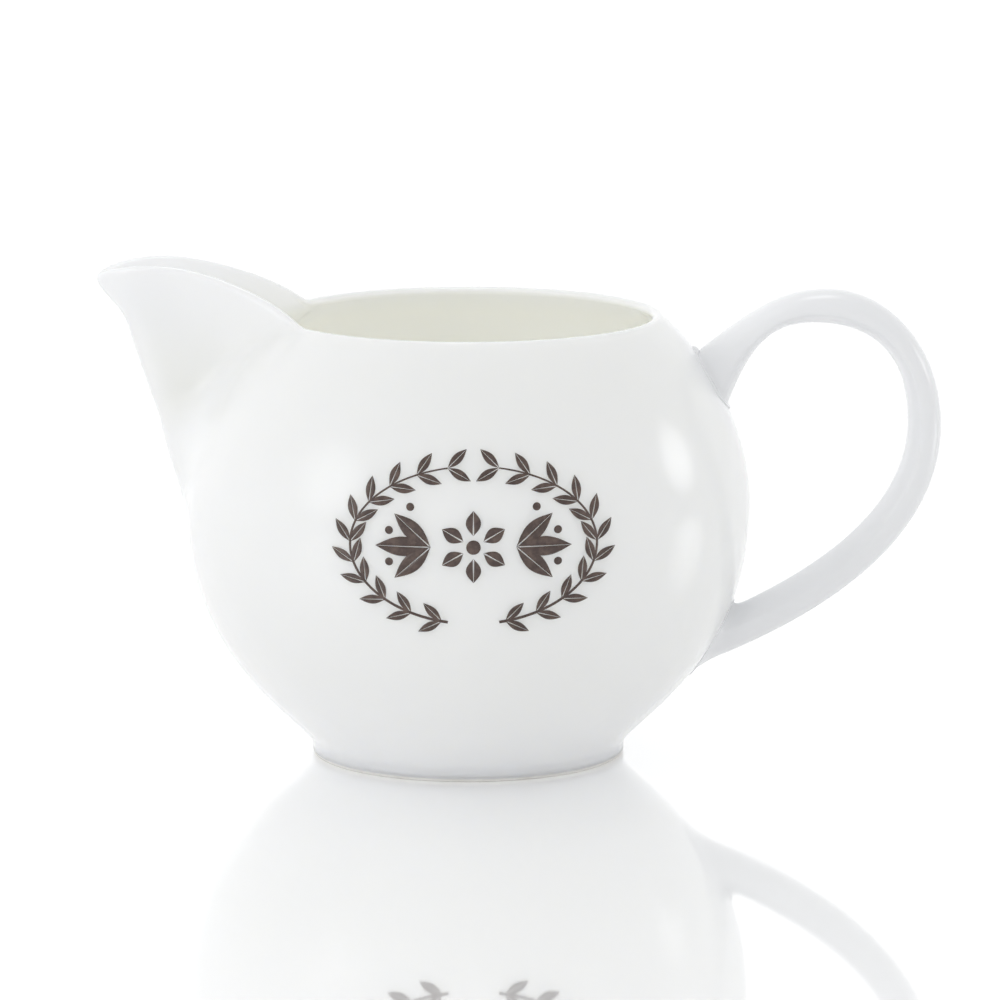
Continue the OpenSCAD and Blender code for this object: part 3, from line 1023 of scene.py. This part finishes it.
outside_glaze = glaze_material("glaze_outside", OUTSIDE_WHITE, SPECK_BROWN, WALL_GLOW, roots=True)
# Inner glaze: partly painted light, and carrying the painted rim highlight.
inside_glaze_painted_light = glaze_material("glaze_inside_painted_light", INSIDE_CREAM_PAINTED_LIGHT, INSIDE_SPECK, WALL_GLOW, RIM_PAINTED_HIGHLIGHT, roots=True)
# Strap glaze: painted shade, darker than the body's glaze.
strap_glaze_painted_shade = glaze_material("glaze_strap_painted_shade", STRAP_WHITE_PAINTED_SHADE, SPECK_BROWN, STRAP_GLOW)
slip_glaze = glaze_material("glaze_slip", SLIP_WHITE, SPECK_BROWN, SLIP_GLOW)
bare = bare_material()
ink = ink_material()

finish_piece(make_skin(outside_glaze, inside_glaze_painted_light), "white_glaze", "bowl", "spout")
finish_piece(make_foot(bare), "bare_foot", "foot_ring")
finish_piece(make_handle(strap_glaze_painted_shade), "white_glaze", "handle", "handle_upper_root", "handle_lower_root")
upper_bead = make_slip_bead("slip_bead_upper", lower=False, radius=0.36, offset=0.35, blob=1.1, seed=3,
                            glaze=slip_glaze)
finish_piece(upper_bead, "white_glaze")
lower_bead = make_slip_bead("slip_bead_lower", lower=True, radius=0.2, offset=1.9, blob=2.0, seed=8,
                            glaze=slip_glaze)
finish_piece(lower_bead, "white_glaze")
finish_piece(draw_wreath().lay(ink), "print_ink", "print_wreath")
finish_piece(draw_sprig().lay(ink), "print_ink", "print_sprig")


# ---------------------------------------------------------------- table, light and camera

TABLE_HALF = 4000.0
TABLE_CELLS = 8
STUDIO_WHITE = (0.99, 0.995, 1.0, 1)
STUDIO_LEVEL = 1.1
STUDIO_SLOPE = (-0.12, 0.05, -0.36)
# Each soft window: the direction it lies in, its half angle in degrees, and its strength.
SOFT_WINDOWS = (
    ((-0.82, -0.475, 0.31), 19, 1.5),
    ((0.95, 0.19, 0.25), 12, 2.6),
    ((0, 0.34, 0.94), 14, 2.2),
)
CAMERA_PLACE = (0.00494, -0.9838, 0.2131)
CAMERA_DIP = 10.009
CAMERA_LENS = 231.9
CAMERA_SENSOR = 36
CAMERA_FAR_CLIP = 50
DIFFUSE_BOUNCES = 12


def make_table():
    side = TABLE_CELLS + 1
    steps = np.linspace(-TABLE_HALF, TABLE_HALF, side)
    points = [(x, y, 0) for x in steps for y in steps]
    faces = [[i * side + j, (i + 1) * side + j, (i + 1) * side + j + 1, i * side + j + 1]
             for i in range(TABLE_CELLS) for j in range(TABLE_CELLS)]
    return new_mesh("table_top", points, faces, [table_material()])


def studio_walls():
    """An even white studio, brighter low down and a little brighter on the left, with three soft windows
    of light: left, right and overhead."""
    world = bpy.data.worlds.new("studio_walls")
    world.use_nodes = True
    nodes, links = world.node_tree.nodes, world.node_tree.links
    direction = nodes.new("ShaderNodeTexCoord").outputs["Generated"]

    def along_axis(axis):
        node = nodes.new("ShaderNodeVectorMath")
        node.operation = "DOT_PRODUCT"
        links.new(direction, node.inputs[0])
        node.inputs[1].default_value = axis
        return node.outputs["Value"]

    level = combine(nodes, links, "ADD", along_axis(STUDIO_SLOPE), STUDIO_LEVEL)
    for axis, half_angle, strength in SOFT_WINDOWS:
        unit = tuple(np.array(axis) / np.linalg.norm(axis))
        edge = math.cos(math.radians(half_angle))
        window = ramp(nodes, links, along_axis(unit), edge, 1.0, 0, strength)
        level = combine(nodes, links, "ADD", level, window)
    background = nodes["Background"]
    background.inputs["Color"].default_value = STUDIO_WHITE
    links.new(level, background.inputs["Strength"])
    bpy.context.scene.world = world


make_table()
studio_walls()

lens = bpy.data.cameras.new("camera")
lens.lens = CAMERA_LENS
lens.sensor_width = CAMERA_SENSOR
lens.clip_end = CAMERA_FAR_CLIP
camera = bpy.data.objects.new("camera", lens)
camera.location = CAMERA_PLACE
camera.rotation_euler = Euler((math.radians(90 - CAMERA_DIP), 0, 0))
bpy.context.scene.collection.objects.link(camera)
bpy.context.scene.camera = camera
bpy.context.scene.view_settings.view_transform = "Standard"
bpy.context.scene.cycles.diffuse_bounces = DIFFUSE_BOUNCES
